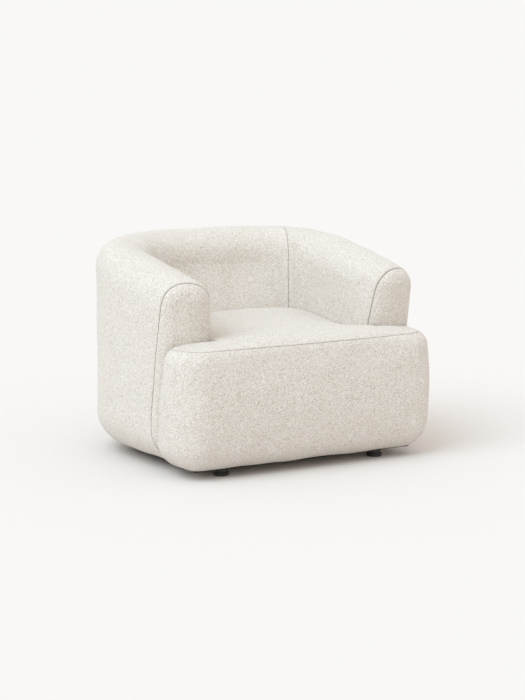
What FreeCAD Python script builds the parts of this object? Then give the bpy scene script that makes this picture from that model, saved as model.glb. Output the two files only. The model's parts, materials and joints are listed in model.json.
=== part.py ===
import FreeCAD, Part
import math
import os

# Upholstered tub armchair. Millimetres, +Z up, floor at z = 0, the sitter faces -Y.
# The origin is on the floor under the middle of the chair's box.

# ---- overall sizes ----
chair_width = 970.0
chair_depth = 900.0
chair_height = 720.0
seat_height = 440.0          # top of the seat above the floor, at its middle
seat_depth = 600.0           # front seam to the back pad, at seat level
seat_width = 610.0           # between the two inside arm faces

# ---- shell: back and arms in one U ----
arm_front_rise = 177.0       # top of the arm where it ends, above the seat height
height_curve = 1.3           # how quickly the arm's slope flattens towards the back
arm_toe_in = 11.0            # how much each arm front stands inside the widest place
arm_run = 225.0              # straight part of the arms, from the seam to the bend
outer_corner = 2.4           # superellipse exponent of the outside corners
inner_corner = 4.5           # the same for the inside corners
back_roll_radius = 110.0     # radius of the rounded top edge of the back
shell_hem_radius = 110.0     # rounding under the outside of the shell
corner_angle = 48.0          # where the sleeves of the arms and the back meet, 90 is mid back

# ---- arm fronts ----
seam_setback = 245.0         # cap seam behind the chair's front, at the datum height
seam_gap = 3.0               # room for the seam between cap and sleeve
seam_lean = -0.19            # change of y for each mm up
face_setback = 200.0         # the arm's front face behind the chair's front, at the same height
face_lean = -0.14
lean_datum = 120.0
cap_rounding = 40.0          # rounding of the cap's edge
cap_hem_start = 20.0         # degrees round the hem where the cap begins
cap_hem_middle = 55.0        # half way from there to the upright side

# ---- front block ----
block_corner = 95.0          # plan radius of the block's front corners
block_bow = 10.0             # how far the middle of the front stands out
block_hem_radius = 85.0
block_top_radius = 60.0
block_loft_rise = 12.0       # how far over the seat height the sides would reach with no dome
block_flat = 60.0            # half of the nearly upright part of the sides
block_bend_min = 30.0        # smallest plan radius where the block is rounded off
block_bend_loss = 0.6        # plan radius lost for each mm of rounding
block_bend_ease = 2.0        # how much fuller than a circle the corner is
block_swell = 16.0           # how far the sides swell at mid height
seam_drop = 27.0             # the seam between top and front covers, under the seat height
crown_height = 10.0          # how far the middle of the seat stands above the seat height
crown_radius = 4000.0        # radius of the domed seat top
slab_setback = 100.0         # where the part between the arms begins, behind the front

# ---- layers ----
cover = 2.0
gap = 0.5                    # clearance between layers
wadding = 18.0               # outside padding
liner = 4.0                  # fibreboard
roll_foam = 29.0             # foam over the top edges
pad_foam = 50.0              # inside arm and back pads
topper = 25.0                # soft layer over the seat core
felt = 4.0
felt_room = 4.0              # from the felt's ends to the rail and the pad
inside_hem = 4.0             # inside pads and covers end this far over the core's bottom
wadding_hem = 12.0           # degrees round the hem where the wadding begins

# ---- feet and base ----
foot_height = 31.0
foot_radius = 25.0
foot_neck_radius = 20.0
foot_edge = 2.0              # bevel under the foot
foot_pad = 10.0              # height of its wide part
foot_counterbore = 12.0      # depth of the hole for the screw's head
foot_head_room = 1.5         # round the screw's head
foot_front_side = 192.0      # front feet inside the chair's side
foot_front_back = 113.0      # and behind its front
foot_rear_angle = 50.7       # place of the rear feet round the bend
foot_rear_inset = 162.0      # and inside the outside wall
hem_room = 1.0               # between the hems and the base panel
hem_width = 25.0             # how far the shell's hem runs on under the base
dust_cover_thickness = 1.0
dust_cover_margin = 118.0    # how far the dust cover's edge lies inside the outside wall
dust_cover_lap = 8.0         # how far it runs over the block's hem
dust_cover_setback = 40.0    # its step behind the arm fronts
dust_cover_hole = 22.0       # radius of its holes round the feet
screw_radius = 2.5
screw_head_radius = 5.0
screw_head_height = 3.5
foot_screw_length = 30.0

# ---- frame ----
ply = 18.0
base_edge = 97.0             # base panel edge inside the shell's outside wall
base_front_edge = 70.0       # base panel and front panel inside the block's front
wing_edge = 67.0             # wing panel inside the block's side
base_window_side = 270.0     # window in the base panel, inside the chair's side
base_window_front = 210.0    # behind its front
base_window_rear = 300.0     # and ahead of its rear
base_step = 22.0             # the base panel's step ahead of the arm fronts
wing_room = 4.0              # wing panel to the arm front
core_room = 2.0              # seat core to the front panel's face
seat_rail_height = 60.0
seat_rail_width = 42.0
seat_rail_drop = 110.0       # top of the seat rails under the seat height
rear_rail_overlap = 10.0     # how far the rear rail reaches ahead of the back pad
top_rail_width = 56.0
top_rail_height = 30.0
top_rail_drop = 46.0         # top of the top rail under the top of the shell
mid_rail_height = 50.0
mid_rail_width = 22.0
mid_rail_drop = 60.0         # underside of the middle rails under the seat height
arm_former_share = 0.62      # place of the arm former along the straight part
back_former_angle = 74.0     # place of the back former round the bend
former_reach = 50.0          # how far a former's cutting sheet stands out of the shell
corner_block = 60.0
corner_block_height = 40.0
corner_block_rise = 10.0     # over the rails' lower edge
block_screw_length = 38.0

# ---- springs and webbing ----
spring_count = 7
spring_pitch = 76.0
spring_wire = 3.6
spring_half_width = 25.0
spring_turn = 12.0           # radius of each turn
spring_room = 0.2            # round the wire, at the rail and in its clip
clip_room = 0.6              # clip to felt
clip_hook_room = 0.4         # round the wire inside the clip's hook
clip_heel = 9.0              # how far the clip's foot runs on along the rail
clip_width = 16.0
clip_sheet = 1.2
strap_width = 50.0
strap_thickness = 1.6
strap_count = 4
strap_pitch = 62.0
strap_rise = 8.0             # lowest strap over the pad's lower edge

# ---- worked out from the sizes above ----
half_width = chair_width / 2
rear = chair_depth / 2
front = -chair_depth / 2
inner_x = seat_width / 2
inner_rear = front + block_bow + seat_depth
seam_low = front + seam_setback
face_low = front + face_setback
bend_start = seam_low + arm_run
arm_front_height = seat_height + arm_front_rise
block_loft_top = seat_height + block_loft_rise
seam_height = seat_height - seam_drop
slab_start = front + slab_setback
seat_rail_top = seat_height - seat_rail_drop
mid_rail_z = seat_height - mid_rail_drop
foot_front = (half_width - foot_front_side, front + foot_front_back)
fabric_bottom = foot_height - hem_room - cover
base_top = foot_height + ply
foam_in = cover + gap                    # depth where foam begins
wadding_out = foam_in + wadding          # depth where the outside padding ends
frame_in = wadding_out + gap + liner     # depth where the outer frame begins
roll_in = foam_in + roll_foam            # depth where the foam over the edges ends
pad_out = foam_in + pad_foam             # depth where the inside pads end
pad_back = pad_out + gap                 # depth where what backs a pad begins
panel_back = pad_back + liner            # the same behind the arm panels
web_out = pad_back + strap_thickness     # depth where the back webbing ends
web_back = web_out + gap                 # depth where what backs the webbing begins
spring_z = seat_rail_top + clip_sheet + spring_wire / 2 + spring_room
felt_bottom = spring_z + spring_wire / 2 + clip_sheet + clip_room
core_bottom = felt_bottom + felt + gap
inner_bottom = core_bottom + inside_hem  # lower edge of the inside pads and covers
crown_top = seat_height + crown_height
crown_y = (front + inner_rear) / 2
V = FreeCAD.Vector
X_AXIS = V(1, 0, 0)
Z_AXIS = V(0, 0, 1)
BIG = 3000.0                 # beyond every face of the chair


def save(shape, name):
    shape.exportStep("parts/" + name + ".step")
    print(name, len(shape.Solids), round(shape.Volume / 1000.0, 1), shape.isValid())


def save_pair(shape, name):
    # the sitter's left is +X
    save(shape, name + "_left")
    save(mirrored(shape), name + "_right")


def mirrored(shape):
    return shape.mirror(V(0, 0, 0), X_AXIS)


def both(shape):
    return [shape, mirrored(shape)]


def box(x0, x1, y0, y1, z0, z1):
    return Part.makeBox(x1 - x0, y1 - y0, z1 - z0, V(x0, y0, z0))


def prism(spots, push):
    wire = Part.makePolygon(spots + [spots[0]])
    return Part.Face(wire).extrude(push)


# ---------------------------------------------------------------- the U path
# A station is an upright plane through the shell. Depth n runs from the
# outside wall (0) to the inside wall (thickness). Near the arm fronts the
# planes lean with the cap seam.

class Station:
    def __init__(self, outer, inner, lean):
        span = math.hypot(outer[0] - inner[0], outer[1] - inner[1])
        self.outer = outer
        self.dx = (outer[0] - inner[0]) / span
        self.dy = (outer[1] - inner[1]) / span
        self.thickness = span
        self.lean = lean
        self.roll = min(span / 2, back_roll_radius)
        ridge_y = outer[1] - self.dy * self.roll + lean * (arm_front_height - lean_datum)
        seam_y = seam_low + seam_lean * (arm_front_height - lean_datum)
        travel = (ridge_y - seam_y) / (rear - back_roll_radius - seam_y)
        travel = min(1.0, max(0.0, travel))
        rise = 1 - (1 - travel) ** height_curve
        self.top = arm_front_height + (chair_height - arm_front_height) * rise

    def point(self, n, z):
        x = self.outer[0] - self.dx * n
        y = self.outer[1] - self.dy * n + self.lean * (z - lean_datum)
        return V(x, y, z)


def arm_station(share):
    # share 0 is the cap seam, 1 is where the bend starts
    low = seam_low + seam_gap
    y = low + (bend_start - low) * share
    toe = arm_toe_in * (1 - share) ** 2
    return Station((half_width - toe, y), (inner_x, y), seam_lean * (1 - share))


def bend_station(angle):
    # angle 0 is where the bend starts, 90 is the middle of the back
    c = max(0.0, math.cos(math.radians(angle)))
    s = math.sin(math.radians(angle))
    deep = rear - bend_start
    outer = (half_width * c ** (2 / outer_corner), bend_start + deep * s ** (2 / outer_corner))
    deep = inner_rear - bend_start
    inner = (inner_x * c ** (2 / inner_corner), bend_start + deep * s ** (2 / inner_corner))
    return Station(outer, inner, 0.0)


def flipped(station):
    twin = Station.__new__(Station)
    twin.__dict__.update(station.__dict__)
    twin.outer = (-station.outer[0], station.outer[1])
    twin.dx = -station.dx
    return twin


arm_stations = [arm_station(share / 4.0) for share in range(4)]
bend_stations = [bend_station(corner_angle * step / 9) for step in range(10)]
back_half = [bend_station(corner_angle + step * (90.0 - corner_angle) / 8) for step in range(8)]
side_path = arm_stations + bend_stations
back_path = back_half + [bend_station(90.0)] + [flipped(s) for s in reversed(back_half)]


def hem_point(depth, angle):
    # a point on the rounding under the outside, 0 underneath and 90 at the side
    reach = shell_hem_radius - depth
    n = shell_hem_radius - reach * math.sin(math.radians(angle))
    z = fabric_bottom + shell_hem_radius - reach * math.cos(math.radians(angle))
    return n, z


def outline(s, depth, part):
    # one layer line as (kind, depth, height); "arc" gives the middle of an arc
    spring_line = s.top - s.roll
    wall_low = fabric_bottom + shell_hem_radius
    inner_n = s.thickness - depth
    roll = [
        ("move", depth, spring_line),
        ("arc", s.roll, s.top - depth),
        ("line", 2 * s.roll - depth, spring_line),
    ]
    if part == "wadding":
        return [
            ("move",) + hem_point(depth, wadding_hem),
            ("arc",) + hem_point(depth, (wadding_hem + 90.0) / 2),
            ("line", depth, wall_low),
            ("line", depth, spring_line - gap),
        ]
    if part == "liner":
        return [
            ("move", depth, wall_low),
            ("line", depth, spring_line - gap),
        ]
    if part == "roll":
        return roll
    if part == "inside":
        return [
            ("move", 2 * s.roll - depth, spring_line - gap),
            ("line", inner_n, seat_height),
            ("line", inner_n, inner_bottom),
        ]
    return [
        ("move", shell_hem_radius + hem_width, fabric_bottom + depth),
        ("line", shell_hem_radius, fabric_bottom + depth),
        ("arc",) + hem_point(depth, 45.0),
        ("line", depth, wall_low),
        ("line", depth, spring_line),
        roll[1],
        roll[2],
        ("line", inner_n, seat_height),
        ("line", inner_n, inner_bottom),
    ]


def wire_of(station, steps):
    # the closed wire through the steps, with arcs where they are marked
    place = station.point(steps[0][1], steps[0][2])
    middle = None
    found = []
    for kind, n, z in steps[1:] + [("line",) + steps[0][1:]]:
        spot = station.point(n, z)
        if kind == "arc":
            middle = spot
            continue
        if middle is None:
            found.append(Part.LineSegment(place, spot).toShape())
        else:
            found.append(Part.Arc(place, middle, spot).toShape())
        place = spot
        middle = None
    return Part.Wire(found)


def backwards(steps):
    turned = [("line",) + step[1:] if step[0] == "move" else step for step in reversed(steps)]
    return turned


def loft(stations, steps_at):
    return Part.makeLoft([wire_of(s, steps_at(s)) for s in stations], True, True)


def layer(path, near, far, part):
    return loft(path, lambda s: outline(s, near, part) + backwards(outline(s, far, part)))


def bar(path, n_low, n_high, z_low, z_high):
    # a rail of square section; its limits are functions of the station
    return loft(path, lambda s: [
        ("move", n_low(s), z_low(s)),
        ("line", n_high(s), z_low(s)),
        ("line", n_high(s), z_high(s)),
        ("line", n_low(s), z_high(s)),
    ])


def cavity(path, backing):
    # the space for the formers, between the liner and what backs the pads
    def steps(s):
        spring_line = s.top - s.roll
        return [
            ("move", base_edge, base_top),
            ("line", frame_in, fabric_bottom + shell_hem_radius),
            ("line", frame_in, spring_line),
            ("line", roll_in + gap, spring_line),
            ("arc", s.roll, s.top - roll_in - gap),
            ("line", 2 * s.roll - roll_in - gap, spring_line),
            ("line", 2 * s.roll - backing, spring_line),
            ("line", s.thickness - backing, seat_height),
            ("line", s.thickness - backing, base_top),
        ]
    return loft(path, steps)


def slab_across(station):
    # a ply sheet standing in the station's plane
    along = V(-station.dy, station.dx, 0) * (ply / 2)
    outer = station.point(-former_reach, 0)
    inner = station.point(station.thickness + former_reach, 0)
    spots = [outer + along, inner + along, inner - along, outer - along]
    return prism(spots, Z_AXIS * BIG)


# ---------------------------------------------------------------- shell covers and padding

side_cover = layer(side_path, 0.0, cover, "all")
back_cover = layer(back_path, 0.0, cover, "all")
side_wadding = layer(side_path, foam_in, wadding_out, "wadding")
back_wadding = layer(back_path, foam_in, wadding_out, "wadding")
arm_roll = layer(side_path, foam_in, roll_in, "roll")
back_roll = layer(back_path, foam_in, roll_in, "roll")
arm_pad = layer(side_path, foam_in, pad_out, "inside")
back_pad = layer(back_path, foam_in, pad_out, "inside")
side_liner = layer(side_path, wadding_out + gap, frame_in, "liner")
back_liner = layer(back_path, wadding_out + gap, frame_in, "liner")
arm_panel = layer(side_path, pad_back, panel_back, "inside")

# ---------------------------------------------------------------- arm front caps


def cap_station(share, push):
    # share 0 is the seam plane, 1 is the front face
    low = seam_low + (face_low - seam_low) * share + push
    lean = seam_lean + (face_lean - seam_lean) * share
    station = Station((half_width - arm_toe_in, low), (inner_x, low), lean)
    station.top = arm_front_height
    return station


def cap_steps(s, depth, inset):
    # the edge is rounded on the outside and over the top, and plain where it is hidden
    edge = depth + inset
    spring_line = s.top - s.roll
    low_n = s.thickness - panel_back - gap - depth
    start = hem_point(edge, cap_hem_start)
    return [
        ("move",) + start,
        ("arc",) + hem_point(edge, cap_hem_middle),
        ("line", edge, fabric_bottom + shell_hem_radius),
        ("line", edge, spring_line),
        ("arc", s.roll, s.top - edge),
        ("line", 2 * s.roll - edge, spring_line),
        ("line", 2 * s.roll - edge, inner_bottom + depth),
        ("line", low_n, inner_bottom + depth),
        ("line", low_n, start[1]),
    ]


def cap(depth):
    wires = []
    for share in (0.0, 0.3, 0.55, 0.75, 0.9, 0.98):
        inset = cap_rounding * (1 - math.sqrt(1 - share * share))
        station = cap_station(share, depth)
        wires.append(wire_of(station, cap_steps(station, depth, inset)))
    return Part.makeLoft(wires, True, False)


cap_cover = cap(0.0).cut(cap(cover))
cap_foam = cap(foam_in)

# ---------------------------------------------------------------- seat block


def dome(depth):
    # everything under the domed top of the seat
    centre = V(0, crown_y, crown_top - crown_radius)
    return Part.makeSphere(crown_radius - depth, centre)


def face_y(z, room):
    return face_low + face_lean * (z - lean_datum) - room


def block_wire(depth, inset, z):
    hx = half_width - depth - inset
    y0 = front + depth + inset
    bend = max(block_bend_min, block_corner - block_bend_loss * inset)
    corner_y = y0 + block_bow + bend
    side_y = y0 + block_bow * ((hx - bend) / half_width) ** 2
    part_45 = bend * (1 - math.sqrt(0.5))
    y1 = face_y(z, seam_gap + depth)
    right = [V(hx, y1, z), V(hx, corner_y, z)]
    arc_mid = V(hx - part_45, y0 + block_bow + part_45 - block_bend_ease, z)
    arc_end = V(hx - bend, side_y, z)
    left = [V(-p.x, p.y, p.z) for p in right]
    left_mid = V(-arc_mid.x, arc_mid.y, z)
    left_end = V(-arc_end.x, arc_end.y, z)
    return Part.Wire([
        Part.LineSegment(right[0], right[1]).toShape(),
        Part.Arc(right[1], arc_mid, arc_end).toShape(),
        Part.Arc(arc_end, V(0, y0, z), left_end).toShape(),
        Part.Arc(left_end, left_mid, left[1]).toShape(),
        Part.LineSegment(left[1], left[0]).toShape(),
        Part.LineSegment(left[0], right[0]).toShape(),
    ])


def block(depth):
    # rounded below and above, widest at mid height
    levels = []
    for angle in range(0, 91, 15):
        turn = math.radians(angle)
        reach = block_hem_radius * (1 - math.sin(turn))
        levels.append((fabric_bottom + block_hem_radius * (1 - math.cos(turn)), reach))
    mid = (fabric_bottom + block_loft_top) / 2
    for z in (mid - block_flat, mid, mid + block_flat):
        levels.append((z, 0.0))
    for angle in range(90, 14, -15):
        turn = math.radians(angle)
        reach = block_top_radius * (1 - math.sin(turn))
        levels.append((block_loft_top - block_top_radius * (1 - math.cos(turn)), reach))
    half = mid - fabric_bottom
    wires = []
    for z, reach in levels:
        inset = reach + block_swell * ((z - mid) / half) ** 2
        height = mid + (z - mid) * (half - depth) / half
        wires.append(block_wire(depth, inset, height))
    return Part.makeLoft(wires, True, True).common(dome(depth))


def seat_plan(depth, y_start, z):
    # the seat's outline between the arms, round its rear corners
    room = depth + seam_gap / 2
    hx = inner_x - room
    deep = inner_rear - room - bend_start
    power = 2 / inner_corner
    bend = []
    for angle in (0.0, 9.0, 18.0, 27.0, 36.0, 45.0, 54.0, 63.0, 72.0, 81.0):
        c = math.cos(math.radians(angle)) ** power
        s = math.sin(math.radians(angle)) ** power
        bend.append(V(hx * c, bend_start + deep * s, z))
    other = [V(-p.x, p.y, p.z) for p in reversed(bend)]
    curve = bend + [V(0, bend_start + deep, z)] + other
    return [V(hx, y_start, z)] + curve + [V(-hx, y_start, z)]


def seat_slab(depth, y_start, z):
    return prism(seat_plan(depth, y_start, z), Z_AXIS * BIG).common(dome(depth))


seat_skin = block(0.0).fuse(seat_slab(0.0, slab_start, inner_bottom))
seat_skin = seat_skin.cut(block(cover)).cut(seat_slab(cover, slab_start, base_top))
hem_x = half_width - block_hem_radius
seat_skin = seat_skin.cut(box(-hem_x, hem_x, front + block_hem_radius, 0, 0, base_top))
frame_x = inner_x + panel_back + gap
seat_skin = seat_skin.cut(box(-frame_x, frame_x, slab_start, rear, 0, inner_bottom))
below_seam = prism([
    V(-BIG, -BIG, 0),
    V(-BIG, face_y(0, 0), 0),
    V(-BIG, face_y(seam_height, 0), seam_height),
    V(-BIG, -BIG, seam_height),
], X_AXIS * (2 * BIG))
front_cover = seat_skin.common(below_seam)
top_cover = seat_skin.cut(below_seam)

panel_y = front + base_front_edge
wing_x = half_width - wing_edge
core_start = panel_y + core_room
core_bounds = seat_plan(foam_in + gap, core_start, core_bottom)
seat_core = prism(core_bounds, Z_AXIS * BIG).common(dome(foam_in + topper + gap))
seat_topper = prism(core_bounds, Z_AXIS * BIG).common(dome(foam_in))
seat_topper = seat_topper.cut(dome(foam_in + topper))
front_foam = block(foam_in)
front_foam = front_foam.cut(box(-wing_x - gap, wing_x + gap, panel_y - gap, 0, 0, core_bottom))
front_foam = front_foam.cut(prism(seat_plan(foam_in, core_start - gap, base_top), Z_AXIS * BIG))

# ---------------------------------------------------------------- frame

base_spots = [arm_station(0.0).point(base_edge, 0)] + [s.point(base_edge, 0) for s in side_path[1:]]
for spot in base_spots:
    spot.z = 0
step_y = face_y(0, base_step)
base_side = [V(wing_x, panel_y, 0), V(wing_x, step_y, 0), V(base_spots[0].x, step_y, 0)]
half_outline = base_side + base_spots + [s.point(base_edge, 0) for s in back_path[1:9]]
other_half = [V(-p.x, p.y, 0) for p in reversed(half_outline[:-1])]
base_panel = prism([p + V(0, 0, foot_height) for p in half_outline + other_half], Z_AXIS * ply)
hem_zone = box(-BIG, BIG, -BIG, step_y, 0, base_top + gap).cut(block(foam_in))
base_panel = base_panel.cut(hem_zone)
arm_room = cap(-gap)
back_room = arm_room.translated(V(0, foam_in + 2 * gap, 0))
for arm_end in both(arm_room) + both(back_room):
    base_panel = base_panel.cut(arm_end)
window_x = half_width - base_window_side
window_front = front + base_window_front
window_rear = rear - base_window_rear
base_panel = base_panel.cut(box(-window_x, window_x, window_front, window_rear, 0, BIG))

panel_top = core_bottom - gap
wing_rear = face_y(core_bottom, wing_room)
front_panel = box(-wing_x, wing_x, panel_y, panel_y + ply, base_top, panel_top).common(block(foam_in))
wing_panel = box(wing_x - ply, wing_x, panel_y + ply, wing_rear, base_top, panel_top).common(block(foam_in))

rail_low = seat_rail_top - seat_rail_height
rail_out = inner_x + panel_back
rail_in = rail_out - seat_rail_width
rear_rail_y = inner_rear - rear_rail_overlap
front_rail_y = panel_y + ply
side_rail = box(rail_in, rail_out, front_rail_y, rear_rail_y, rail_low, seat_rail_top)
front_rail = box(-rail_in, rail_in, front_rail_y, front_rail_y + seat_rail_width, rail_low, seat_rail_top)
rear_rail = box(-rail_out, rail_out, rear_rail_y, rear_rail_y + seat_rail_width, rail_low, seat_rail_top)


def top_rail(path):
    return bar(
        path,
        lambda s: s.roll - top_rail_width / 2,
        lambda s: s.roll + top_rail_width / 2,
        lambda s: s.top - top_rail_drop - top_rail_height,
        lambda s: s.top - top_rail_drop,
    )


def mid_rail(path, backing, spare=0.0):
    return bar(
        path,
        lambda s: s.thickness - backing - mid_rail_width,
        lambda s: s.thickness - backing + spare,
        lambda s: mid_rail_z,
        lambda s: mid_rail_z + mid_rail_height,
    )


arm_top_rail = top_rail(side_path)
back_top_rail = top_rail(back_path)
arm_mid_rail = mid_rail(side_path, panel_back)
back_mid_rail = mid_rail(back_path, web_back)

side_cavity = cavity(side_path, panel_back)
back_cavity = cavity(back_path, web_back)
front_slab = prism([
    V(0, seam_low + seam_gap + seam_lean * (z - lean_datum) + push, z)
    for z, push in ((0.0, 0.0), (0.0, ply), (chair_height, ply), (chair_height, 0.0))
], X_AXIS * BIG)
notches = [arm_top_rail, back_top_rail, rear_rail]
notches += [mid_rail(side_path, panel_back, ply), mid_rail(back_path, web_back, ply)]


def notched(former):
    for rail in notches:
        former = former.cut(rail)
    return former


arm_front_former = notched(side_cavity.common(front_slab))
arm_former = notched(side_cavity.common(slab_across(arm_station(arm_former_share))))
corner_slab = slab_across(bend_station(corner_angle))
corner_former = notched(side_cavity.common(corner_slab).fuse(back_cavity.common(corner_slab))).cut(arm_panel)
back_former = notched(back_cavity.common(slab_across(bend_station(back_former_angle))))

# ---------------------------------------------------------------- corner blocks and screws


def screw(place, direction, length):
    # round head at the place, shank along the direction
    shank = Part.makeCylinder(screw_radius, length, place, direction)
    head_end = place - direction * screw_head_height
    head = Part.makeCylinder(screw_head_radius, screw_head_height, head_end, direction)
    return shank.fuse(head)


block_z = rail_low + corner_block_rise
block_screws = []
corner_blocks = []
for y, turn in ((front_rail_y + seat_rail_width, 1), (rear_rail_y, -1)):
    spots = [V(rail_in, y, block_z)]
    spots.append(V(rail_in - corner_block, y, block_z))
    spots.append(V(rail_in, y + turn * corner_block, block_z))
    wedge = prism(spots, Z_AXIS * corner_block_height)
    inward = V(1, -turn, 0).normalize()
    middle_z = block_z + corner_block_height / 2
    middle = V(rail_in - corner_block / 2, y + turn * corner_block / 2, middle_z)
    fixing = screw(middle, inward, block_screw_length)
    corner_blocks += both(wedge.cut(fixing))
    block_screws += both(fixing)

rear_spot = bend_station(foot_rear_angle).point(foot_rear_inset, 0)
foot_rear = (rear_spot.x, rear_spot.y)
feet = []
foot_screws = []
for x, y in (foot_front, foot_rear):
    profile = [V(0, 0, 0), V(foot_radius - foot_edge, 0, 0), V(foot_radius, 0, foot_edge)]
    profile += [V(foot_radius, 0, foot_pad), V(foot_neck_radius + 1, 0, foot_pad + foot_edge)]
    profile += [V(foot_neck_radius, 0, foot_height), V(0, 0, foot_height)]
    body = Part.Face(Part.makePolygon(profile + [profile[0]])).revolve(V(0, 0, 0), Z_AXIS, 360)
    body = body.cut(Part.makeCylinder(screw_head_radius + foot_head_room, foot_counterbore))
    body = body.cut(Part.makeCylinder(screw_radius, foot_height))
    body.translate(V(x, y, 0))
    feet.append(body)
    foot_screws += both(screw(V(x, y, foot_counterbore), Z_AXIS, foot_screw_length))

screws = Part.makeCompound(foot_screws)
base_panel = base_panel.cut(screws)
joint_screws = Part.makeCompound(block_screws)
side_rail = side_rail.cut(joint_screws)
front_rail = front_rail.cut(joint_screws)
rear_rail = rear_rail.cut(joint_screws)

dust_spots = [arm_station(0.0).point(dust_cover_margin, 0)]
dust_spots += [s.point(dust_cover_margin, 0) for s in side_path[1:] + back_path[1:9]]
dust_front_y = front + block_hem_radius - dust_cover_lap
dust_x = hem_x + dust_cover_lap
dust_z = fabric_bottom - gap - dust_cover_thickness
dust_half = [V(dust_x, dust_front_y, 0), V(dust_x, face_y(0, dust_cover_setback), 0)] + dust_spots
dust_outline = [V(p.x, p.y, dust_z) for p in dust_half]
dust_outline += [V(-p.x, p.y, dust_z) for p in reversed(dust_half[:-1])]
dust_cover = prism(dust_outline, Z_AXIS * dust_cover_thickness)
for x, y in (foot_front, foot_rear):
    for hole in both(Part.makeCylinder(dust_cover_hole, BIG, V(x, y, 0))):
        dust_cover = dust_cover.cut(hole)

# ---------------------------------------------------------------- springs, clips, felt, webbing

spring_front = front_rail_y + seat_rail_width / 2
spring_rear = rear_rail_y + seat_rail_width / 2
turns = int((spring_rear - spring_front) / (2 * spring_turn))
spring_step = (spring_rear - spring_front) / turns
reach = spring_half_width - spring_step / 2


def zigzag(x):
    found = []
    side = 1
    for turn in range(turns + 1):
        y = spring_front + turn * spring_step
        here = V(x - side * reach, y, spring_z)
        there = V(x + side * reach, y, spring_z)
        found.append(Part.LineSegment(here, there).toShape())
        if turn < turns:
            mid = V(x + side * spring_half_width, y + spring_step / 2, spring_z)
            end = V(x + side * reach, y + spring_step, spring_z)
            found.append(Part.Arc(there, mid, end).toShape())
        side = -side
    start = V(x - reach, spring_front, spring_z)
    ring = Part.Wire(Part.makeCircle(spring_wire / 2, start, X_AXIS))
    return Part.Wire(found).makePipeShell([ring], True, False)


def clip(x, y, turn):
    # a folded steel strip that holds a spring's end bar on the rail
    low = seat_rail_top
    high = spring_z + spring_wire / 2 + spring_room
    hook = turn * (spring_wire / 2 + clip_hook_room)
    heel = turn * clip_heel
    back = -hook - turn * clip_sheet
    spots = [(heel, low), (back, low), (back, high + clip_sheet)]
    spots += [(hook, high + clip_sheet), (hook, high), (-hook, high), (-hook, low + clip_sheet)]
    spots += [(heel, low + clip_sheet)]
    profile = [V(x - clip_width / 2, y + a, z) for a, z in spots]
    return prism(profile, X_AXIS * clip_width)


spring_x = [(index - (spring_count - 1) / 2) * spring_pitch for index in range(spring_count)]
springs = [zigzag(x) for x in spring_x]
clips = [clip(x, spring_front, -1) for x in spring_x]
clips += [clip(x, spring_rear, 1) for x in spring_x]
felt_front = front_rail_y + felt_room
felt_rear = inner_rear - felt_room
spring_felt = box(-rail_in, rail_in, felt_front, felt_rear, felt_bottom, felt_bottom + felt)

web_sheet = layer(back_path, pad_back, web_out, "inside")
straps = []
for index in range(strap_count):
    z = inner_bottom + strap_rise + index * strap_pitch
    straps.append(web_sheet.common(box(-BIG, BIG, -BIG, BIG, z, z + strap_width)))

# ---------------------------------------------------------------- files

os.makedirs("parts", exist_ok=True)

save(top_cover, "seat_top_cover")
save(front_cover, "seat_front_cover")
save(back_cover, "back_cover")
save_pair(side_cover, "side_cover")
save_pair(cap_cover, "arm_cap_cover")
save(dust_cover, "dust_cover")

save(seat_topper, "seat_topper")
save(seat_core, "seat_foam_core")
save(front_foam, "front_foam")
save(back_pad, "back_pad_foam")
save_pair(arm_pad, "arm_pad_foam")
save(back_roll, "back_roll_foam")
save_pair(arm_roll, "arm_roll_foam")
save_pair(cap_foam, "arm_front_foam")
save(back_wadding, "back_wadding")
save_pair(side_wadding, "side_wadding")

save(base_panel, "base_panel")
save(front_panel, "front_panel")
save_pair(wing_panel, "wing_panel")
save(front_rail, "seat_front_rail")
save(rear_rail, "seat_rear_rail")
save_pair(side_rail, "seat_side_rail")
save(Part.makeCompound(corner_blocks), "corner_blocks")
save(joint_screws, "corner_block_screws")
save_pair(arm_front_former, "arm_front_former")
save_pair(arm_former, "arm_former")
save_pair(corner_former, "corner_former")
save_pair(back_former, "back_former")
save_pair(arm_top_rail, "arm_top_rail")
save(back_top_rail, "back_top_rail")
save_pair(arm_mid_rail, "arm_mid_rail")
save(back_mid_rail, "back_mid_rail")
save(back_liner, "back_liner")
save_pair(side_liner, "side_liner")
save_pair(arm_panel, "arm_inner_panel")

save(Part.makeCompound(springs), "seat_springs")
save(Part.makeCompound(clips), "spring_clips")
save(spring_felt, "spring_felt")
save(Part.makeCompound(straps), "back_webbing")

save_pair(feet[0], "foot_front")
save_pair(feet[1], "foot_rear")
save(screws, "foot_screws")
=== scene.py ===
import json
import math
import bmesh
import bpy
import numpy as np
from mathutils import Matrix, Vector
from mathutils.kdtree import KDTree


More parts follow.
